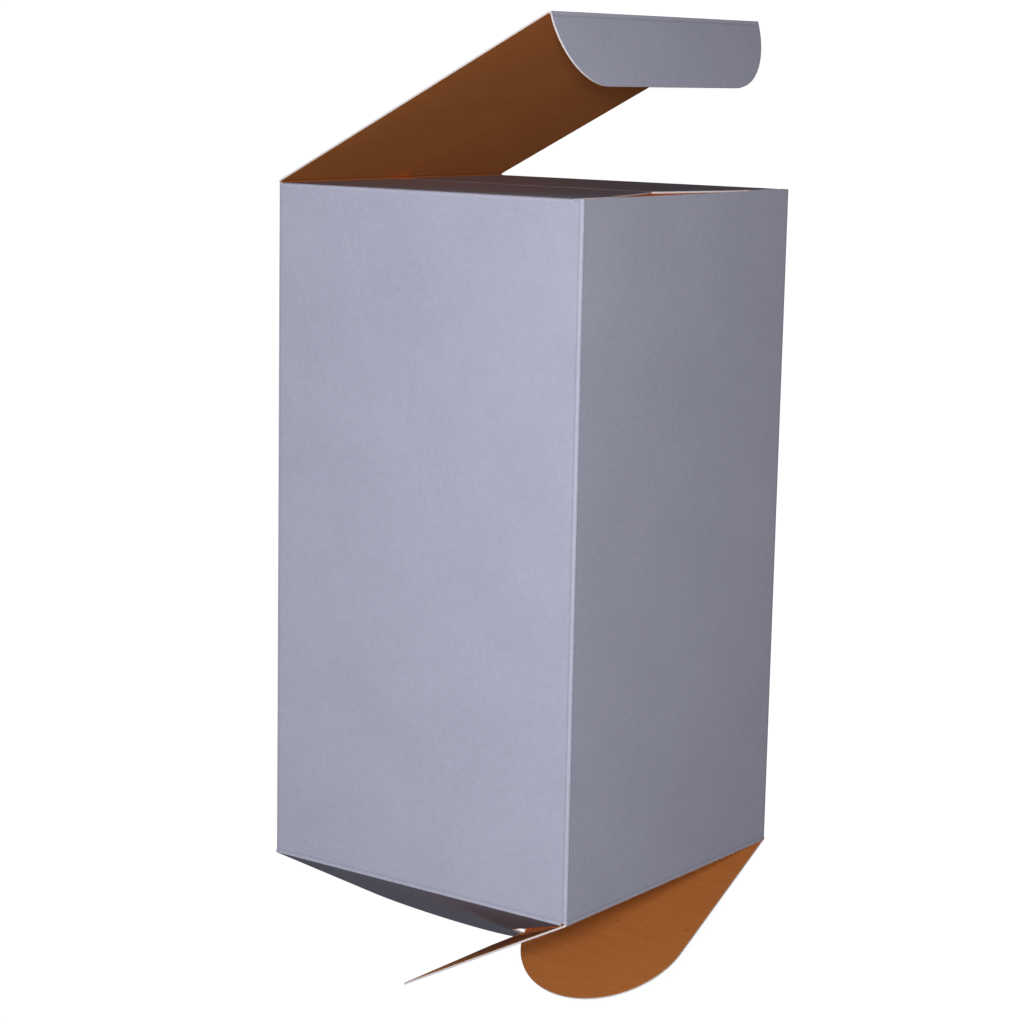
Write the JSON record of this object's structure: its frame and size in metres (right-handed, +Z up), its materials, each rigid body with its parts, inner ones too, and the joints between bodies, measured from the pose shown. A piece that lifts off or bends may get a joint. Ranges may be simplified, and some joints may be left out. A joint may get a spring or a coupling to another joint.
{
  "type": "open cardboard box",
  "caption": "Upright square folding carton, lid raised on its crease with a tuck flap, top dust flaps folded in, interlocking bottom flaps hanging loosely open; it lies on one wall.",
  "frame": {"origin": "centre of the outside of the right wall, the wall it lies on, on the floor", "axes": "+Y along the box from its bottom to its mouth, +X from the back wall, which carries the lid, to the front wall, +Z up from the wall it lies on"},
  "size_m": [0.08, 0.2141, 0.08],
  "materials": {
    "board": "clay-coated pale lavender-grey outside, satin, with pale cut edges",
    "kraft_board": "the same board, seen on its uncoated brown kraft inside"
  },
  "bodies": {
    "carton": {"carton_body": "board", "dust_flap_left": "board", "dust_flap_right": "board"},
    "lid": {"lid": "board"},
    "tuck_flap": {"tuck_flap": "board"},
    "bottom_left": {"bottom_flap_left": "kraft_board"},
    "bottom_front": {"bottom_flap_front": "kraft_board"},
    "bottom_right": {"bottom_flap_right": "kraft_board"},
    "bottom_back": {"bottom_flap_back": "kraft_board"}
  },
  "joints": [
    {"name": "lid_crease", "type": "hinge", "parent": "carton", "child": "lid", "pos_m": [-0.03977, 0.075, 0.04], "axis": [0, 0, 1], "range_deg": [-27, 153]},
    {"name": "tuck_crease", "type": "hinge", "parent": "lid", "child": "tuck_flap", "pos_m": [0.03061, 0.11087, 0.04], "axis": [0, 0, 1], "range_deg": [-10, 100]},
    {"name": "bottom_front_crease", "type": "hinge", "parent": "carton", "child": "bottom_front", "pos_m": [0.03977, -0.075, 0.04], "axis": [0, 0, 1], "range_deg": [0, 62]},
    {"name": "bottom_back_crease", "type": "hinge", "parent": "carton", "child": "bottom_back", "pos_m": [-0.03977, -0.075, 0.04], "axis": [0, 0, -1], "range_deg": [0, 62]},
    {"name": "bottom_left_crease", "type": "hinge", "parent": "carton", "child": "bottom_left", "pos_m": [0, -0.075, 0.07977], "axis": [-1, 0, 0], "range_deg": [0, 62]},
    {"name": "bottom_right_crease", "type": "hinge", "parent": "carton", "child": "bottom_right", "pos_m": [0, -0.075, 0.00022], "axis": [1, 0, 0], "range_deg": [0, 62]}
  ],
  "couplings": [
    {"joint": "bottom_front_crease", "follows": "bottom_left_crease", "ratio": 1},
    {"joint": "bottom_right_crease", "follows": "bottom_left_crease", "ratio": 1},
    {"joint": "bottom_back_crease", "follows": "bottom_left_crease", "ratio": 1}
  ]
}
